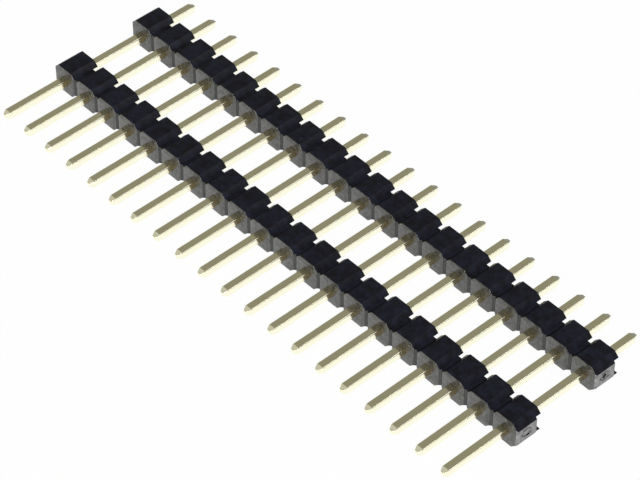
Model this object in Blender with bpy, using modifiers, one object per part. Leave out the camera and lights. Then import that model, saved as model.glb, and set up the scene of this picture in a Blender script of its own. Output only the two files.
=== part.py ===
"""Stacking pin header: one row of square pins held by two moulded breakaway strips.

X runs along the row, Y along the pins and +Z is up. The connector lies on the flat undersides
of its two strips with its pins level. The origin is the centre of the bounding box's bottom.
"""

from math import radians

import bpy
import bmesh
from mathutils import Vector

MM = 0.001

# Row
WAYS = 20                       # pins in the row, and breakaway segments in each strip
PITCH = 2.54 * MM               # pin to pin

# Pins, and what they run through from the mating tip to the solder tip
PIN_SIZE = 0.64 * MM            # across the flats of the square wire
PIN_EDGE = 0.05 * MM            # chamfer on the wire's four long edges
PIN_POINT = 0.34 * MM           # across the flats of the blunt tip
PIN_TAPER = 0.34 * MM           # length of the pointed end
MATING_REACH = 5.94 * MM        # mating tip to the first strip
STRIP_GAP = 5.35 * MM           # clear distance between the strips
SOLDER_REACH = 2.95 * MM        # second strip to the solder tip

# Strips
STRIP_DEPTH = 2.41 * MM         # along the pins
STRIP_HEIGHT = 2.44 * MM        # flat underside to flat top
SEGMENT_GAP = 0.29 * MM         # notch between neighbouring segments
CORNER_CHAMFER = 0.40 * MM      # on the four corners of each segment's octagon
NECK_STEP = 0.04 * MM           # from a chamfer's edge in to the neck's top or bottom
SCORE_LAND = 0.02 * MM          # flat left on each side of a score line
SCORE_DEPTH = 0.14 * MM         # V groove down the middle of each neck
RAIL_HEIGHT = 0.42 * MM         # standoff rails above and below the channel
CHANNEL_DEPTH = 0.50 * MM       # channel along the side that faces the solder tips
HOLE_CLEARANCE = 0.03 * MM      # pin flat to hole wall

OVERCUT = 0.5 * MM              # a cutter runs past what it cuts by this much
SCORE_PROUD = 0.06 * MM         # a score line's cutter is widest this far in front of the mating face
WELD = 0.001 * MM               # points of an outline's sides and caps closer than this are one

STRIP_LENGTH = WAYS * PITCH
PIN_LENGTH = MATING_REACH + STRIP_DEPTH + STRIP_GAP + STRIP_DEPTH + SOLDER_REACH
MATING_TIP_Y = -PIN_LENGTH / 2
AXIS_Z = STRIP_HEIGHT / 2
SEGMENT_WIDTH = PITCH - SEGMENT_GAP
FLAT_WIDTH = SEGMENT_WIDTH - 2 * CORNER_CHAMFER
SIDE_TOP = STRIP_HEIGHT / 2 - CORNER_CHAMFER
NECK_TOP = SIDE_TOP - NECK_STEP
END_TOP = SIDE_TOP - SEGMENT_GAP / 2
CHANNEL_HEIGHT = STRIP_HEIGHT - 2 * RAIL_HEIGHT
HOLE_SIZE = PIN_SIZE + 2 * HOLE_CLEARANCE
SCORE_WIDTH = SEGMENT_GAP - 2 * SCORE_LAND

PLASTIC_COLOUR = (0.013, 0.013, 0.016, 1.0)
GOLD_COLOUR = (0.84, 0.66, 0.34, 1.0)


def clear_scene():
    """Remove every object that the file already holds."""
    for old in list(bpy.data.objects):
        bpy.data.objects.remove(old, do_unlink=True)


def make_collection(name, parent):
    """Return a new collection linked under the parent."""
    collection = bpy.data.collections.new(name)
    parent.children.link(collection)
    return collection


def principled(name, colour, roughness, metallic):
    """Return a plain Principled material."""
    material = bpy.data.materials.new(name)
    material.use_nodes = True
    shader = material.node_tree.nodes["Principled BSDF"]
    shader.inputs["Base Color"].default_value = colour
    shader.inputs["Roughness"].default_value = roughness
    shader.inputs["Metallic"].default_value = metallic
    return material


def block_mesh(name, size):
    """Return a mesh of one box, centred on its own origin."""
    shape = bmesh.new()
    bmesh.ops.create_cube(shape, size=1.0)
    bmesh.ops.scale(shape, vec=size, verts=shape.verts)
    mesh = bpy.data.meshes.new(name)
    shape.to_mesh(mesh)
    shape.free()
    return mesh


def edges_along_y(shape):
    """Return the edges that run along Y."""
    runs = []
    for edge in shape.edges:
        direction = (edge.verts[1].co - edge.verts[0].co).normalized()
        if abs(direction.y) > 0.99:
            runs.append(edge)
    return runs


def pin_x(index):
    """Return the X of one pin's axis, counted from the -X end of the row."""
    return (index - (WAYS - 1) / 2) * PITCH


def top_outline():
    """Return the strip's upper outline, seen along the pins, as (X, height above the pins' axes).

    Each segment is the upper half of an octagon, and each joint a lower neck. At both ends of the
    strip the chamfer carries on to the end wall.
    """
    corners = [(-STRIP_LENGTH / 2, END_TOP)]
    for index in range(WAYS):
        x = pin_x(index)
        if index > 0:
            corners.append((x - SEGMENT_WIDTH / 2, NECK_TOP))
            corners.append((x - SEGMENT_WIDTH / 2, SIDE_TOP))
        corners.append((x - FLAT_WIDTH / 2, STRIP_HEIGHT / 2))
        corners.append((x + FLAT_WIDTH / 2, STRIP_HEIGHT / 2))
        if index < WAYS - 1:
            corners.append((x + SEGMENT_WIDTH / 2, SIDE_TOP))
            corners.append((x + SEGMENT_WIDTH / 2, NECK_TOP))
    corners.append((STRIP_LENGTH / 2, END_TOP))
    return corners


def split_at_necks(shape):
    """Divide the outline's faces at both sides of every neck, so that each lies in one segment or neck."""
    for index in range(WAYS - 1):
        for side_x in (pin_x(index) + SEGMENT_WIDTH / 2, pin_x(index + 1) - SEGMENT_WIDTH / 2):
            everything = list(shape.verts) + list(shape.edges) + list(shape.faces)
            place_on_row = Vector((side_x, 0.0, 0.0))
            bmesh.ops.bisect_plane(
                shape, geom=everything, dist=WELD, plane_co=place_on_row, plane_no=Vector((1.0, 0.0, 0.0))
            )


def outline_mesh(middle_y):
    """Return the strip's outline as a solid of its full depth about the given Y, in world places."""
    upper = top_outline()
    lower = [(x, -height) for x, height in reversed(upper)]
    curve = bpy.data.curves.new("outline", "CURVE")
    curve.dimensions = "2D"
    curve.fill_mode = "BOTH"
    curve.extrude = STRIP_DEPTH / 2
    spline = curve.splines.new("POLY")
    spline.points.add(len(upper) + len(lower) - 1)
    for point, (x, height) in zip(spline.points, upper + lower):
        point.co = (x, height, 0.0, 1.0)
    spline.use_cyclic_u = True

    drawn = bpy.data.objects.new("outline", curve)
    drawn.location = (0.0, middle_y, AXIS_Z)
    drawn.rotation_euler = (radians(90.0), 0.0, 0.0)
    bpy.context.scene.collection.objects.link(drawn)
    bpy.context.view_layer.update()
    evaluated = drawn.evaluated_get(bpy.context.evaluated_depsgraph_get())
    mesh = bpy.data.meshes.new_from_object(evaluated)
    shape = bmesh.new()
    shape.from_mesh(mesh)
    bmesh.ops.remove_doubles(shape, verts=shape.verts, dist=WELD)
    bmesh.ops.dissolve_limit(shape, angle_limit=radians(1.0), verts=shape.verts, edges=shape.edges)
    split_at_necks(shape)
    bmesh.ops.recalc_face_normals(shape, faces=shape.faces)
    shape.to_mesh(mesh)
    shape.free()
    place_of_curve = drawn.matrix_world.copy()
    bpy.data.objects.remove(drawn, do_unlink=True)
    return mesh, place_of_curve


def score_mesh():
    """Return the cutter of one score line: an upright prism with a diamond section."""
    shape = bmesh.new()
    bmesh.ops.create_cone(shape, cap_ends=True, segments=4, radius1=0.5, radius2=0.5, depth=1.0)
    reach = SCORE_DEPTH + SCORE_PROUD
    size = (SCORE_WIDTH * reach / SCORE_DEPTH, 2 * reach, STRIP_HEIGHT + 2 * OVERCUT)
    bmesh.ops.scale(shape, vec=size, verts=shape.verts)
    mesh = bpy.data.meshes.new("score")
    shape.to_mesh(mesh)
    shape.free()
    return mesh


def pin_mesh():
    """Return one pin: square wire with chamfered long edges and a blunt point at each end."""
    shape = bmesh.new()
    bmesh.ops.create_cube(shape, size=1.0)
    size = (PIN_SIZE, PIN_LENGTH - 2 * PIN_TAPER, PIN_SIZE)
    bmesh.ops.scale(shape, vec=size, verts=shape.verts)
    bmesh.ops.bevel(shape, geom=edges_along_y(shape), offset=PIN_EDGE, segments=1, affect="EDGES")
    shape.faces.ensure_lookup_table()
    ends = [face for face in shape.faces if abs(face.normal.y) > 0.99]
    for face in ends:
        outward = Vector((0.0, PIN_TAPER if face.normal.y > 0 else -PIN_TAPER, 0.0))
        drawn = bmesh.ops.extrude_discrete_faces(shape, faces=[face])["faces"][0]
        bmesh.ops.translate(shape, vec=outward, verts=drawn.verts)
        narrow = (PIN_POINT / PIN_SIZE, 1.0, PIN_POINT / PIN_SIZE)
        bmesh.ops.scale(shape, vec=narrow, verts=drawn.verts)
    bmesh.ops.recalc_face_normals(shape, faces=shape.faces)
    mesh = bpy.data.meshes.new("pin")
    shape.to_mesh(mesh)
    shape.free()
    return mesh


def place(name, mesh, location, collection, parent):
    """Add an object for the mesh at a place in the part."""
    thing = bpy.data.objects.new(name, mesh)
    thing.location = location
    thing.parent = parent
    collection.objects.link(thing)
    return thing


def repeat_along_x(thing, count):
    """Repeat the object along +X at the pitch of the row."""
    array = thing.modifiers.new("row", "ARRAY")
    array.use_relative_offset = False
    array.use_constant_offset = True
    array.constant_offset_displace = (PITCH, 0.0, 0.0)
    array.count = count


def cut_away(strip, cutter):
    """Cut the cutter's shape out of the strip, and show the cutter as wire only."""
    boolean = strip.modifiers.new(cutter.name, "BOOLEAN")
    boolean.operation = "DIFFERENCE"
    boolean.solver = "EXACT"
    boolean.object = cutter
    cutter.hide_render = True
    cutter.display_type = "WIRE"


def make_strip(name, mating_face_y, parts, cutters, parent, plastic):
    """Build one moulded strip whose mating face is at the given Y."""
    middle_y = mating_face_y + STRIP_DEPTH / 2
    solder_face_y = mating_face_y + STRIP_DEPTH

    mesh, place_of_curve = outline_mesh(middle_y)
    mesh.materials.clear()
    mesh.materials.append(plastic)
    strip = place(name, mesh, (0.0, 0.0, 0.0), parts, parent)
    strip.matrix_world = place_of_curve

    channel_size = (STRIP_LENGTH + 2 * OVERCUT, 2 * CHANNEL_DEPTH, CHANNEL_HEIGHT)
    channel_place = (0.0, solder_face_y, AXIS_Z)
    channel = place(name + "_channel", block_mesh("channel", channel_size), channel_place, cutters, parent)

    score_place = (pin_x(0) + PITCH / 2, mating_face_y - SCORE_PROUD, AXIS_Z)
    scores = place(name + "_scores", score_mesh(), score_place, cutters, parent)
    repeat_along_x(scores, WAYS - 1)

    hole_size = (HOLE_SIZE, STRIP_DEPTH + 2 * OVERCUT, HOLE_SIZE)
    hole_place = (pin_x(0), middle_y, AXIS_Z)
    holes = place(name + "_holes", block_mesh("holes", hole_size), hole_place, cutters, parent)
    repeat_along_x(holes, WAYS)

    for cutter in (channel, scores, holes):
        cut_away(strip, cutter)


def make_pins(parts, parent, gold):
    """Build the row of pins, which share one mesh."""
    mesh = pin_mesh()
    mesh.materials.append(gold)
    for index in range(WAYS):
        place(f"pin_{index + 1:02d}", mesh, (pin_x(index), 0.0, AXIS_Z), parts, parent)


def main():
    """Build the connector."""
    clear_scene()
    top = bpy.context.scene.collection
    parts = make_collection("board_to_board_connector", top)
    cutters = make_collection("cutters", top)
    plastic = principled("moulded_plastic", PLASTIC_COLOUR, 0.35, 0.0)
    gold = principled("gold_plating", GOLD_COLOUR, 0.2, 1.0)

    origin = bpy.data.objects.new("connector_origin", None)
    parts.objects.link(origin)

    front_face_y = MATING_TIP_Y + MATING_REACH
    rear_face_y = front_face_y + STRIP_DEPTH + STRIP_GAP
    make_strip("front_strip", front_face_y, parts, cutters, origin, plastic)
    make_strip("rear_strip", rear_face_y, parts, cutters, origin, plastic)
    make_pins(parts, origin, gold)


main()
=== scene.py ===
"""Looks of the stacking pin header: gold-plated square pins held by two black moulded strips."""

from collections import namedtuple
from math import cos, pi, radians, sin, sqrt

import bmesh
import bpy
from mathutils import Matrix, Vector


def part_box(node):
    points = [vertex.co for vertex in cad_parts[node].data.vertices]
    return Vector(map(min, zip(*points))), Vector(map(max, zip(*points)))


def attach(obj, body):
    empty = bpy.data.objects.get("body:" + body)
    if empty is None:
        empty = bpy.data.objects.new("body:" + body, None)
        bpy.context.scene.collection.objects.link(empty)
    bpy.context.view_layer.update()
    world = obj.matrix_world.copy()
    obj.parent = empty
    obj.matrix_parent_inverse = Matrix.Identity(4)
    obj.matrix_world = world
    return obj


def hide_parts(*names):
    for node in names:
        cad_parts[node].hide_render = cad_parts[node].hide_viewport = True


MM = 0.001

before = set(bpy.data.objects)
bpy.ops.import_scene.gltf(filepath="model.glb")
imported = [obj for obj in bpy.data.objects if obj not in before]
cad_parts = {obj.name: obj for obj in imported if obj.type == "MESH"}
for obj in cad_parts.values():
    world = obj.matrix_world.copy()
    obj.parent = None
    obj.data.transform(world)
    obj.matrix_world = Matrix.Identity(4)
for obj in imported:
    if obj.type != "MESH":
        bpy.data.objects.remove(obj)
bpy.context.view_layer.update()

# Row, as in the part
WAYS = 20
PITCH = 2.54 * MM
ROW_END = WAYS * PITCH / 2      # how far the strips reach from the middle

# Strips, seen along the pins: each segment is an octagon, each joint a narrow neck
STRIP_DEPTH = 2.41 * MM
STRIP_HEIGHT = 2.44 * MM
SEGMENT_GAP = 0.29 * MM
SEGMENT_WIDTH = PITCH - SEGMENT_GAP
CORNER_CHAMFER = 0.40 * MM
FLAT_HALF = SEGMENT_WIDTH / 2 - CORNER_CHAMFER      # half-width of the flat tops
SIDE_TOP = STRIP_HEIGHT / 2 - CORNER_CHAMFER        # top of the upright sides, above the pins' axis
AXIS_Z = STRIP_HEIGHT / 2
CHANNEL_DEPTH = 0.50 * MM
RAIL_HEIGHT = 0.42 * MM
CHANNEL_HEIGHT = STRIP_HEIGHT - 2 * RAIL_HEIGHT
SCORE_DEPTH = 0.14 * MM
SCORE_LIP = 0.03 * MM           # how far behind the mating face a score line starts
NECK_ROOT = 0.06 * MM           # how far a neck reaches into the segments that it joins
HOLE_SIZE = 0.65 * MM
EDGE_ROUND = 0.05 * MM          # radius of the edges round the pin faces
SIDE_ROUND = 0.02 * MM          # radius of the edges along the pins
LEAST_SIDE_ROUND = 0.3          # share of that radius that is left at the pin faces
EDGE_STEPS = 3
END_ROUND = 0.18 * MM           # radius of the upright corners at the strip's ends
END_STEPS = (0.55, 0.75, 1.0)   # depths of the rings past EDGE_ROUND, as shares of END_ROUND
OVERCUT = 0.5 * MM
CUT_TOLERANCE = 0.0001 * MM
WELD_DISTANCE = 0.0005 * MM
STRIP_SHARP_ANGLE = radians(32)

# Oval mark left in each end wall, and the slit torn within it
SCAR_CENTRE = (0.97 * MM, 0.09 * MM)        # behind the mating face, above the pins' axis
SCAR_LONG = 0.48 * MM                       # half-length of the oval, along the pins
SCAR_TALL = 0.32 * MM                       # half-height of the oval
SCAR_GROOVE = 0.05 * MM                     # half-width of the groove that draws it
SCAR_DEPTH = 0.035 * MM
SCAR_POINTS = 40                            # round the oval
GROOVE_POINTS = 8                           # round the groove's own section
SLIT_DEPTH = 0.24 * MM
SLITS = {                                   # place as above, length, height and turn by strip
    "front_strip": (1.08 * MM, -0.24 * MM, 0.30 * MM, 0.20 * MM, radians(5)),
    "rear_strip": (0.87 * MM, 0.11 * MM, 0.36 * MM, 0.30 * MM, radians(38)),
}

# Pins, from a tip inwards: distance, half-width across the flats and corner radius of each ring, in mm
POINT_RINGS = (
    (0.060, 0.190, 0.050),
    (0.085, 0.201, 0.050),
    (0.295, 0.293, 0.060),
    (0.320, 0.304, 0.060),
    (0.350, 0.314, 0.060),
    (0.390, 0.319, 0.060),
    (0.430, 0.320, 0.060),
)
NEAR_TIP = ((0.000, 0.140, 0.035), (0.010, 0.160, 0.045), (0.032, 0.178, 0.050)) + POINT_RINGS
FAR_TIP = ((0.000, 0.164, 0.045),) + POINT_RINGS
CORNER_STEPS = 4
FLAT_MARGIN = 0.05              # share of a flat, at each side, where the shading runs into the corner
PIN_SHARP_ANGLE = radians(40)

# Where a noise has most of its values: the range that is stretched, and the one that blends colours
NOISE_RANGE = (0.30, 0.70)
BLEND_RANGE = (0.35, 0.65)

# Plastic finishes, in the order of the strips' material slots. Each has the two colours that its
# clouds blend, its least and greatest roughness, its specular level, the grain in cycles a metre
# and the strength of the relief
Plastic = namedtuple("Plastic", "name dark light roughness specular grain relief")
PLASTICS = (
    Plastic("plastic_polished", (0.0, 0.0, 0.006, 1.0), (0.008, 0.011, 0.029, 1.0),
            (0.34, 0.50), 0.34, 2000.0, 0.2),
    # Pin faces: the grey colours are painted light, where these faces catch more light; their gloss and
    # grain are their own
    Plastic("plastic_pin_face_painted_light", (0.018, 0.018, 0.018, 1.0), (0.095, 0.095, 0.092, 1.0),
            (0.14, 0.34), 0.7, 2600.0, 0.5),
    # End walls: the light grey colours are painted light; their rougher gloss and grain are their own
    Plastic("plastic_end_wall_painted_light", (0.165, 0.165, 0.178, 1.0), (0.39, 0.39, 0.42, 1.0),
            (0.4, 0.6), 0.5, 3000.0, 0.5),
    # Score lines: the darker colours are painted shade in the grooves
    Plastic("plastic_score_line_painted_shade", (0.012, 0.012, 0.012, 1.0), (0.032, 0.032, 0.032, 1.0),
            (0.3, 0.4), 0.7, 3500.0, 0.3),
)
POLISHED, PIN_FACE_PAINTED_LIGHT, END_WALL_PAINTED_LIGHT, SCORE_LINE_PAINTED_SHADE = range(len(PLASTICS))
PLASTIC_RELIEF = 0.02 * MM
CLOUD_DETAIL = 5.0
GLOSS_GRAIN = 0.7               # grain of the uneven gloss, as a share of the clouds'
RELIEF_GRAIN = 2.2              # grain of the relief, as a share of the clouds'
RELIEF_DETAIL = 6.0

# Which way a strip's face has to look to get its finish, as parts of its normal
FACING = 0.55                   # along the pins or along the row
END_FACING = 0.35               # along the row in an end wall, with its rounded corners
END_LEAN = 0.30                 # most that an end wall's face may look up or down
END_ZONE = 0.20 * MM            # how far in from the row's ends a face belongs to an end wall

# Plating
GOLD = (0.99, 0.975, 0.77, 1.0)
GOLD_DARK = (0.985, 0.962, 0.745, 1.0)
GOLD_LIGHT = (0.995, 0.98, 0.80, 1.0)
# Darker brown plating near the strips: painted shade
GOLD_PAINTED_SHADE = (0.66, 0.55, 0.29, 1.0)
GOLD_ROUGHNESS = 0.08
LINE_ROUGHNESS = (0.06, 0.11)   # least and greatest, by the drawn lines
LINE_STRETCH = (1.0, 0.02, 1.0)
LINE_GRAIN = 14000.0
LINE_DETAIL = 2.0
LINE_STRENGTH = 0.10
LINE_RELIEF = 0.004 * MM
TARNISH_GRAIN = 900.0
TARNISH_DETAIL = 4.0
CORNER_RANGE = (0.18, 0.35)     # product of the normal's X and Z over which a corner gets duller
CORNER_DULLNESS = 0.25          # roughness that a corner has more than a flat
PAINTED_SHADE_REACH = 0.86 * MM         # how far the plating is darkened by painted shade before the plastic
PAINTED_SHADE_CORE = 0.3 * PAINTED_SHADE_REACH  # how far the painted shade is at full strength
PAINTED_SHADE_ON_TOP = 0.5              # strength of the painted shade on the pins' tops, where the sides have 1

# Camera, which looks down on the row from beyond its near +X end
CAMERA_AZIMUTH = radians(47.75)
CAMERA_ELEVATION = radians(45.28)
CAMERA_DISTANCE = 213.3 * MM
CAMERA_TARGET = Vector((2.0, -0.63, 1.22)) * MM
CAMERA_LENS = 163.5             # focal length in mm
CAMERA_RANGE = (10 * MM, 10.0)  # nearest and farthest that it sees

# Lamps: name, direction from the connector, size and radiance
LAMPS = (
    ("key", (0.45, -0.80, 0.40), 0.15, 18.0),
    ("edge_light", (0.33, 0.47, 0.82), 0.20, 3.0),
    ("tip_panel", (-0.52, -0.22, 0.825), 0.32, 0.28),
)
LAMP_DISTANCE = 0.5             # from the connector

# Floor and room, which turns colour and brightness by the direction that is looked in
WHITE = (1.0, 1.0, 1.0, 1.0)
FLOOR_SIZE = 1.2
FLOOR_DROP = 0.002 * MM
FLOOR_COLOUR = (0.9, 0.9, 0.9, 1.0)
FLOOR_GLOW = 0.98               # share of pure white that the camera and reflections see in the floor
ROOM_COLOUR = (0.260, 0.249, 0.196, 1.0)
REAR_COLOUR = (0.27, 0.266, 0.272, 1.0)
REAR_RANGE = (0.55, 0.85)       # Y of the direction over which the room turns to its rear colour
SIDE_RANGE = (0.3, 0.7)         # X of the direction over which the room gets lighter
ROOM_STRENGTH = (1.0, 1.4)      # to the -X side, and to the +X side


def pin_x(index):
    """X of one pin's axis, counted from the -X end of the row."""
    return (index - (WAYS - 1) / 2) * PITCH


def add_object(name, data):
    """Put new data into the scene."""
    made = bpy.data.objects.new(name, data)
    bpy.context.scene.collection.objects.link(made)
    return made


# ---------------------------------------------------------------- shapes


def face_outwards(shape):
    """Turn every face of a closed shape outwards."""
    bmesh.ops.recalc_face_normals(shape, faces=shape.faces)
    if shape.calc_volume(signed=True) < 0:
        bmesh.ops.reverse_faces(shape, faces=shape.faces)


def mesh_from(shape, name):
    """Turn the bmesh into a mesh and free it."""
    mesh = bpy.data.meshes.new(name)
    shape.to_mesh(mesh)
    shape.free()
    return mesh


def smooth_mesh(shape, name, sharp_angle):
    """Turn the bmesh into a mesh, shaded smooth except over edges sharper than the angle."""
    face_outwards(shape)
    for face in shape.faces:
        face.smooth = True
    mesh = mesh_from(shape, name)
    mesh.set_sharp_from_angle(angle=sharp_angle)
    return mesh


def corner_of(corners, index):
    """A corner of a closed outline, the ways to its neighbours and half the angle between them."""
    here = Vector(corners[index])
    to_last = (Vector(corners[index - 1]) - here).normalized()
    to_next = (Vector(corners[(index + 1) % len(corners)]) - here).normalized()
    return here, to_last, to_next, to_last.angle(to_next) / 2


def rounded(corners, radius, steps):
    """Round every corner of a closed outline, given as (a, b) pairs."""
    points = []
    for index in range(len(corners)):
        here, to_last, to_next, half = corner_of(corners, index)
        reach = radius / sin(half) * cos(half)
        centre = here + (to_last + to_next).normalized() * (radius / sin(half))
        start = here + to_last * reach
        end = here + to_next * reach
        for step in range(steps + 1):
            mix = start.lerp(end, step / steps)
            points.append(centre + (mix - centre).normalized() * radius)
    return points


def inset(corners, distance):
    """Move every side of a convex outline inwards."""
    moved = []
    for index in range(len(corners)):
        here, to_last, to_next, half = corner_of(corners, index)
        moved.append(here + (to_last + to_next).normalized() * (distance / sin(half)))
    return moved


def segment_outline(left, right):
    """Corners of one segment as (X, Z) about the pin's axis; left and right are its reach each way."""
    top = STRIP_HEIGHT / 2
    left_side = top - (left - FLAT_HALF)
    right_side = top - (right - FLAT_HALF)
    return [
        (-FLAT_HALF, top), (FLAT_HALF, top), (right, right_side), (right, -right_side),
        (FLAT_HALF, -top), (-FLAT_HALF, -top), (-left, -left_side), (-left, left_side),
    ]


def loft(shape, rings):
    """Skin closed rings of points and cap both ends."""
    made = []
    for ring in rings:
        made.append([shape.verts.new(point) for point in ring])
    for lower, upper in zip(made, made[1:]):
        for index in range(len(lower)):
            after = (index + 1) % len(lower)
            shape.faces.new((lower[index], lower[after], upper[after], upper[index]))
    shape.faces.new(made[0])
    shape.faces.new(list(reversed(made[-1])))


def arc_gap(depth, radius):
    """How far a rounded edge's surface stands back at a depth behind the face."""
    if depth >= radius:
        return 0.0
    return radius - sqrt(radius * radius - (radius - depth) ** 2)


def segment_mesh(left, right):
    """One segment with rounded edges, from the mating face at Y 0 to the solder face."""
    depths = [EDGE_ROUND * (1 - cos(pi / 2 * step / EDGE_STEPS)) for step in range(EDGE_STEPS + 1)]
    if max(left, right) > SEGMENT_WIDTH / 2:
        depths += [END_ROUND * share for share in END_STEPS]
    depths += [STRIP_DEPTH - depth for depth in reversed(depths)]
    shape = bmesh.new()
    skin = []
    for y in depths:
        depth = min(y, STRIP_DEPTH - y)
        gap = arc_gap(depth, EDGE_ROUND)
        narrower = arc_gap(depth, END_ROUND) - gap
        reach = [side - narrower if side > SEGMENT_WIDTH / 2 else side for side in (left, right)]
        radius = max(SIDE_ROUND - gap, LEAST_SIDE_ROUND * SIDE_ROUND)
        outline = rounded(inset(segment_outline(*reach), gap), radius, EDGE_STEPS)
        skin.append([(point.x, y, point.y) for point in outline])
    loft(shape, skin)
    face_outwards(shape)
    return mesh_from(shape, "segment")


def block_mesh(size):
    """A box centred on its origin."""
    shape = bmesh.new()
    bmesh.ops.create_cube(shape, size=1.0)
    bmesh.ops.scale(shape, vec=size, verts=shape.verts)
    return mesh_from(shape, "block")


def neck_mesh():
    """The neck between two segments, with its score line down the front."""
    side = SEGMENT_GAP / 2
    root = side + NECK_ROOT
    back = STRIP_DEPTH - CHANNEL_DEPTH
    plan = [
        (-root, SCORE_LIP), (-side, SCORE_LIP), (0.0, SCORE_DEPTH), (side, SCORE_LIP), (root, SCORE_LIP),
        (root, back), (-root, back),
    ]
    shape = bmesh.new()
    loft(shape, [[(x, y, height) for x, y in plan] for height in (-SIDE_TOP, SIDE_TOP)])
    face_outwards(shape)
    return mesh_from(shape, "neck")


def scar_mesh():
    """An oval ring, which is cut into an end wall as a shallow groove."""
    shape = bmesh.new()
    rings = []
    for index in range(SCAR_POINTS):
        turn = 2 * pi * index / SCAR_POINTS
        centre = Vector((0.0, SCAR_LONG * cos(turn), SCAR_TALL * sin(turn)))
        outward = Vector((0.0, cos(turn) / SCAR_LONG, sin(turn) / SCAR_TALL)).normalized()
        ring = []
        for step in range(GROOVE_POINTS):
            bend = 2 * pi * step / GROOVE_POINTS
            sideways = outward * (SCAR_GROOVE * cos(bend))
            ring.append(shape.verts.new(centre + sideways + Vector((SCAR_DEPTH * sin(bend), 0.0, 0.0))))
        rings.append(ring)
    for index, here in enumerate(rings):
        there = rings[(index + 1) % SCAR_POINTS]
        for step in range(GROOVE_POINTS):
            after = (step + 1) % GROOVE_POINTS
            shape.faces.new((here[step], here[after], there[after], there[step]))
    face_outwards(shape)
    return mesh_from(shape, "scar")


def combine(mesh, operations):
    """Apply Boolean operations, given as (kind, mesh, place), and return the resulting mesh."""
    body = add_object("body", mesh)
    tools = []
    for kind, tool_mesh, place in operations:
        tool = add_object("tool", tool_mesh)
        tool.matrix_world = place
        boolean = body.modifiers.new("cut", "BOOLEAN")
        boolean.operation = kind
        boolean.solver = "EXACT"
        boolean.object = tool
        tools.append(tool)
    bpy.context.view_layer.update()
    result = bpy.data.meshes.new_from_object(body.evaluated_get(bpy.context.evaluated_depsgraph_get()))
    for thing in tools + [body]:
        bpy.data.objects.remove(thing, do_unlink=True)
    return result


def cell_mesh(is_first, is_last, slit):
    """One pitch of a strip about its pin's axis, open where it meets the next."""
    at = Matrix.Translation
    sides = ((-PITCH / 2, is_first), (PITCH / 2, is_last))
    left, right = (PITCH / 2 if is_end else SEGMENT_WIDTH / 2 for is_end in (is_first, is_last))
    channel = block_mesh((2 * PITCH, 2 * CHANNEL_DEPTH, CHANNEL_HEIGHT))
    operations = [("DIFFERENCE", channel, at((0, STRIP_DEPTH, 0)))]
    for x, is_end in sides:
        if not is_end:
            operations.append(("UNION", neck_mesh(), at((x, 0, 0))))
    hole = block_mesh((HOLE_SIZE, STRIP_DEPTH + 2 * OVERCUT, HOLE_SIZE))
    operations.append(("DIFFERENCE", hole, at((0, STRIP_DEPTH / 2, 0))))
    behind, above, length, height, turn = slit
    for x, is_end in sides:
        if is_end:
            torn = at((x, behind, above)) @ Matrix.Rotation(turn, 4, "X")
            operations.append(("DIFFERENCE", scar_mesh(), at((x,) + SCAR_CENTRE)))
            operations.append(("DIFFERENCE", block_mesh((2 * SLIT_DEPTH, length, height)), torn))
    return combine(segment_mesh(left, right), operations)


def open_side(cell, x):
    """Cut away what a cell has beyond X, on the side away from its middle."""
    everything = list(cell.verts) + list(cell.edges) + list(cell.faces)
    bmesh.ops.bisect_plane(
        cell, geom=everything, dist=CUT_TOLERANCE, plane_co=(x, 0, 0), plane_no=(x, 0, 0), clear_outer=True)


def strip_mesh(slit):
    """A whole strip, welded from its cells, with its mating face at Y 0."""
    first = cell_mesh(True, False, slit)
    middle = cell_mesh(False, False, slit)
    last = cell_mesh(False, True, slit)
    strip = bmesh.new()
    for index, source in enumerate([first] + [middle] * (WAYS - 2) + [last]):
        cell = bmesh.new()
        cell.from_mesh(source)
        if index > 0:
            open_side(cell, -PITCH / 2)
        if index < WAYS - 1:
            open_side(cell, PITCH / 2)
        bmesh.ops.translate(cell, vec=(pin_x(index), 0, 0), verts=cell.verts)
        joined = mesh_from(cell, "cell")
        strip.from_mesh(joined)
        bpy.data.meshes.remove(joined)
    bmesh.ops.remove_doubles(strip, verts=strip.verts, dist=WELD_DISTANCE)
    return smooth_mesh(strip, "strip", STRIP_SHARP_ANGLE)


def pin_ring(y, half, radius):
    """One ring of a pin: a square with rounded corners, with points near the ends of its flats."""
    square = [(-half, half), (half, half), (half, -half), (-half, -half)]
    outline = rounded(square, radius, CORNER_STEPS)
    points = []
    for index, here in enumerate(outline):
        points.append(here)
        if index % (CORNER_STEPS + 1) == CORNER_STEPS:
            there = outline[(index + 1) % len(outline)]
            points += [here.lerp(there, FLAT_MARGIN), there.lerp(here, FLAT_MARGIN)]
    return [(point.x, y, point.y) for point in points]


def pin_mesh(length):
    """Square wire with softly rounded corners and a blunt point at each end."""
    rings = [pin_ring(away * MM - length / 2, half * MM, radius * MM) for away, half, radius in NEAR_TIP]
    rings += [pin_ring(length / 2 - away * MM, half * MM, radius * MM)
              for away, half, radius in reversed(FAR_TIP)]
    shape = bmesh.new()
    loft(shape, rings)
    return smooth_mesh(shape, "pin", PIN_SHARP_ANGLE)


# ---------------------------------------------------------------- shader nodes


def node(tree, kind, **values):
    """Add a shader node and set its properties."""
    made = tree.nodes.new(kind)
    for name, value in values.items():
        setattr(made, name, value)
    return made


def feed(tree, target, value):
    """Link another node's output to an input, or set the input to a plain value."""
    if isinstance(value, bpy.types.NodeSocket):
        tree.links.new(value, target)
    else:
        target.default_value = value


def calculate(tree, operation, *values):
    """The result of a Math node on one or two values, each an output or a number."""
    made = node(tree, "ShaderNodeMath", operation=operation)
    for target, value in zip(made.inputs, values):
        feed(tree, target, value)
    return made.outputs[0]


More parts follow.
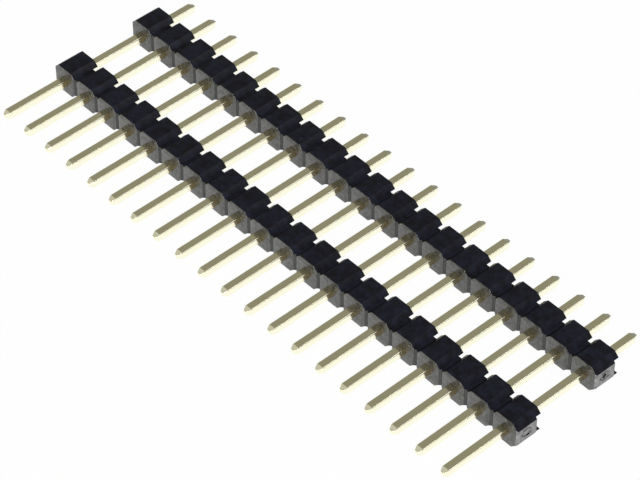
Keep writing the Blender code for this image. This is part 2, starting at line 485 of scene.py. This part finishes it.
def carry_over(tree, value, old, new, way="LINEAR"):
    """Carry a value over from its old range, given as (start, end), to a new one, and hold it there."""
    made = node(tree, "ShaderNodeMapRange", interpolation_type=way)
    feed(tree, made.inputs["Value"], value)
    for name, limit in zip(("From Min", "From Max", "To Min", "To Max"), old + new):
        made.inputs[name].default_value = limit
    return made.outputs["Result"]


def mix_colours(tree, share, first, second):
    """The first colour, with the given share of the second mixed in."""
    made = node(tree, "ShaderNodeMix", data_type="RGBA")
    for name, value in (("Factor", share), ("A", first), ("B", second)):
        feed(tree, made.inputs[name], value)
    return made.outputs["Result"]


def mix_shaders(tree, share, first, second):
    """The first shader, with the given share of the second mixed in."""
    made = node(tree, "ShaderNodeMixShader")
    for target, value in zip(made.inputs, (share, first, second)):
        feed(tree, target, value)
    return made.outputs[0]


def coordinates(tree, kind):
    """X, Y and Z of a texture coordinate, as outputs of those names."""
    place = node(tree, "ShaderNodeTexCoord")
    parts = node(tree, "ShaderNodeSeparateXYZ")
    tree.links.new(place.outputs[kind], parts.inputs["Vector"])
    return parts.outputs


# ---------------------------------------------------------------- materials


def material_with(name, colour, roughness, metallic, specular=0.5):
    """A Principled material, its tree and its shader."""
    material = bpy.data.materials.new(name)
    material.use_nodes = True
    shader = material.node_tree.nodes["Principled BSDF"]
    shader.inputs["Base Color"].default_value = colour
    shader.inputs["Roughness"].default_value = roughness
    shader.inputs["Metallic"].default_value = metallic
    shader.inputs["Specular IOR Level"].default_value = specular
    return material, material.node_tree, shader


def object_noise(tree, scale, detail=3.0, stretch=(1, 1, 1)):
    """Noise fixed to the object, with scale in cycles a metre."""
    place = node(tree, "ShaderNodeTexCoord")
    mapping = node(tree, "ShaderNodeMapping")
    mapping.inputs["Scale"].default_value = stretch
    noise = node(tree, "ShaderNodeTexNoise")
    noise.inputs["Scale"].default_value = scale
    noise.inputs["Detail"].default_value = detail
    tree.links.new(place.outputs["Object"], mapping.inputs["Vector"])
    tree.links.new(mapping.outputs["Vector"], noise.inputs["Vector"])
    return noise.outputs["Fac"]


def blend_by_noise(tree, noise, dark, light):
    """A colour between two, by a noise."""
    ramp = node(tree, "ShaderNodeValToRGB")
    for element, position, colour in zip(ramp.color_ramp.elements, BLEND_RANGE, (dark, light)):
        element.position = position
        element.color = colour
    tree.links.new(noise, ramp.inputs["Fac"])
    return ramp.outputs["Color"]


def bump(tree, shader, height, strength, depth):
    """Fine relief on the shader's normal."""
    relief = node(tree, "ShaderNodeBump")
    relief.inputs["Strength"].default_value = strength
    relief.inputs["Distance"].default_value = depth
    tree.links.new(height, relief.inputs["Height"])
    tree.links.new(relief.outputs["Normal"], shader.inputs["Normal"])


def plastic_finish(look):
    """Moulded plastic: a faint cloudiness, uneven gloss and the mould's fine grain."""
    material, tree, shader = material_with(look.name, look.light, look.roughness[0], 0.0, look.specular)
    clouds = object_noise(tree, look.grain, CLOUD_DETAIL)
    tree.links.new(blend_by_noise(tree, clouds, look.dark, look.light), shader.inputs["Base Color"])
    gloss = object_noise(tree, look.grain * GLOSS_GRAIN)
    tree.links.new(carry_over(tree, gloss, NOISE_RANGE, look.roughness), shader.inputs["Roughness"])
    grain = object_noise(tree, look.grain * RELIEF_GRAIN, RELIEF_DETAIL)
    bump(tree, shader, grain, look.relief, PLASTIC_RELIEF)
    return material


def painted_shade_share(tree, fronts):
    """Share of painted shade on the plating: 1 at the strips' mating faces, given as Y, on the pin's sides,
    and less on its top.
    """
    sideways = calculate(tree, "ABSOLUTE", coordinates(tree, "Normal")["X"])
    strength = carry_over(tree, sideways, (0.0, 1.0), (PAINTED_SHADE_ON_TOP, 1.0))
    along = coordinates(tree, "Object")["Y"]
    nearest = None
    for front in fronts:
        away = calculate(tree, "ABSOLUTE", calculate(tree, "SUBTRACT", along, front))
        nearest = away if nearest is None else calculate(tree, "MINIMUM", nearest, away)
    fade = carry_over(tree, nearest, (PAINTED_SHADE_CORE, PAINTED_SHADE_REACH), (1.0, 0.0), "SMOOTHSTEP")
    return calculate(tree, "MULTIPLY", fade, strength)


def corner_dullness(tree):
    """Extra roughness on the rounded corners along the pin, none on its flats."""
    normal = coordinates(tree, "Normal")
    slant = calculate(tree, "ABSOLUTE", calculate(tree, "MULTIPLY", normal["X"], normal["Z"]))
    return carry_over(tree, slant, CORNER_RANGE, (0.0, CORNER_DULLNESS))


def gold_finish(fronts):
    """Gold plating on drawn wire: satin, with faint lines along the pin, and painted shade, a darker brown,
    before the plastic.
    """
    material, tree, shader = material_with("gold_plating_look", GOLD, GOLD_ROUGHNESS, 1.0)
    tarnish = object_noise(tree, TARNISH_GRAIN, TARNISH_DETAIL)
    plated = blend_by_noise(tree, tarnish, GOLD_DARK, GOLD_LIGHT)
    # Painted shade: the plating turns darker brown near the strips, more on the sides than on the top
    shaded_plating = mix_colours(tree, painted_shade_share(tree, fronts), plated, GOLD_PAINTED_SHADE)
    tree.links.new(shaded_plating, shader.inputs["Base Color"])
    lines = object_noise(tree, LINE_GRAIN, LINE_DETAIL, LINE_STRETCH)
    drawn = carry_over(tree, lines, NOISE_RANGE, LINE_ROUGHNESS)
    tree.links.new(calculate(tree, "ADD", drawn, corner_dullness(tree)), shader.inputs["Roughness"])
    bump(tree, shader, lines, LINE_STRENGTH, LINE_RELIEF)
    return material


def finish_of(face):
    """The material slot of a strip's face: its tops, pin faces, end walls and score lines differ, with
    painted light on the pin faces and end walls and painted shade in the score lines.
    """
    sideways, lengthwise, upright = (abs(part) for part in face.normal)
    at_end = abs(face.center.x) > ROW_END - END_ZONE
    if at_end and sideways > END_FACING and upright < END_LEAN:
        return END_WALL_PAINTED_LIGHT
    if lengthwise > FACING and sideways > FACING and not at_end:
        return SCORE_LINE_PAINTED_SHADE
    if lengthwise > FACING:
        return PIN_FACE_PAINTED_LIGHT
    return POLISHED


def finish_strip(mesh, materials):
    """Give every face of a strip its own finish, some of them with painted light or painted shade."""
    mesh.materials.clear()
    for material in materials:
        mesh.materials.append(material)
    for face in mesh.polygons:
        face.material_index = finish_of(face)


# ---------------------------------------------------------------- stage


def make_camera():
    """Look at the row from the photo's side."""
    back = Vector((
        sin(CAMERA_AZIMUTH) * cos(CAMERA_ELEVATION),
        -cos(CAMERA_AZIMUTH) * cos(CAMERA_ELEVATION),
        sin(CAMERA_ELEVATION),
    ))
    data = bpy.data.cameras.new("camera")
    data.lens = CAMERA_LENS
    data.clip_start, data.clip_end = CAMERA_RANGE
    camera = add_object("camera", data)
    camera.location = CAMERA_TARGET + back * CAMERA_DISTANCE
    camera.rotation_euler = back.to_track_quat("Z", "Y").to_euler()
    bpy.context.scene.camera = camera


def area_lamp(name, direction, size, radiance):
    """A square soft lamp that faces the connector and shows with the given radiance."""
    data = bpy.data.lights.new(name, "AREA")
    data.shape = "SQUARE"
    data.size = size
    data.energy = radiance * pi * size * size
    lamp = add_object(name, data)
    place = Vector(direction).normalized()
    lamp.location = place * LAMP_DISTANCE
    lamp.rotation_euler = place.to_track_quat("Z", "Y").to_euler()


def make_floor():
    """White sheet under the connector, which the camera and reflections see as white."""
    bpy.ops.mesh.primitive_plane_add(size=FLOOR_SIZE, location=(0, 0, -FLOOR_DROP))
    floor = bpy.context.active_object
    floor.name = "floor"
    material = bpy.data.materials.new("white_sheet")
    material.use_nodes = True
    tree = material.node_tree
    tree.nodes.clear()
    out = node(tree, "ShaderNodeOutputMaterial")
    diffuse = node(tree, "ShaderNodeBsdfDiffuse")
    diffuse.inputs["Color"].default_value = FLOOR_COLOUR
    glow = node(tree, "ShaderNodeEmission")
    glow.inputs["Strength"].default_value = 1.0
    path = node(tree, "ShaderNodeLightPath").outputs
    seen = calculate(tree, "MAXIMUM", path["Is Camera Ray"], path["Is Glossy Ray"])
    share = calculate(tree, "MULTIPLY", seen, FLOOR_GLOW)
    tree.links.new(mix_shaders(tree, share, diffuse.outputs[0], glow.outputs[0]), out.inputs["Surface"])
    floor.data.materials.append(material)


def make_world():
    """Plain warm-grey room, lighter to the +X side, which the camera itself sees as white."""
    world = bpy.data.worlds.new("studio")
    bpy.context.scene.world = world
    world.use_nodes = True
    tree = world.node_tree
    tree.nodes.clear()
    out = node(tree, "ShaderNodeOutputWorld")
    direction = coordinates(tree, "Generated")
    rear = carry_over(tree, direction["Y"], REAR_RANGE, (0.0, 1.0))
    room = node(tree, "ShaderNodeBackground")
    feed(tree, room.inputs["Color"], mix_colours(tree, rear, ROOM_COLOUR, REAR_COLOUR))
    feed(tree, room.inputs["Strength"], carry_over(tree, direction["X"], SIDE_RANGE, ROOM_STRENGTH))
    backdrop = node(tree, "ShaderNodeBackground")
    feed(tree, backdrop.inputs["Color"], WHITE)
    feed(tree, backdrop.inputs["Strength"], 1.0)
    seen = node(tree, "ShaderNodeLightPath").outputs["Is Camera Ray"]
    tree.links.new(mix_shaders(tree, seen, room.outputs[0], backdrop.outputs[0]), out.inputs["Surface"])


def main():
    """Dress the frame."""
    make_camera()
    make_world()
    make_floor()
    for lamp in LAMPS:
        area_lamp(*lamp)

    plastics = [plastic_finish(look) for look in PLASTICS]
    for name, slit in SLITS.items():
        strip = strip_mesh(slit)
        finish_strip(strip, plastics)
        piece = add_object(name + "_moulding", strip)
        piece.location = (0.0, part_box(name)[0][1], AXIS_Z)
        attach(piece, "root")
        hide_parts(name)

    low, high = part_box("pin_01")
    pin = pin_mesh(high[1] - low[1])
    pin.materials.append(gold_finish([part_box(name)[0][1] for name in SLITS]))
    for index in range(WAYS):
        name = f"pin_{index + 1:02d}"
        piece = add_object(name + "_wire", pin)
        piece.location = (pin_x(index), 0.0, AXIS_Z)
        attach(piece, "root")
        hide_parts(name)

    bpy.context.scene.view_settings.view_transform = "Standard"


main()
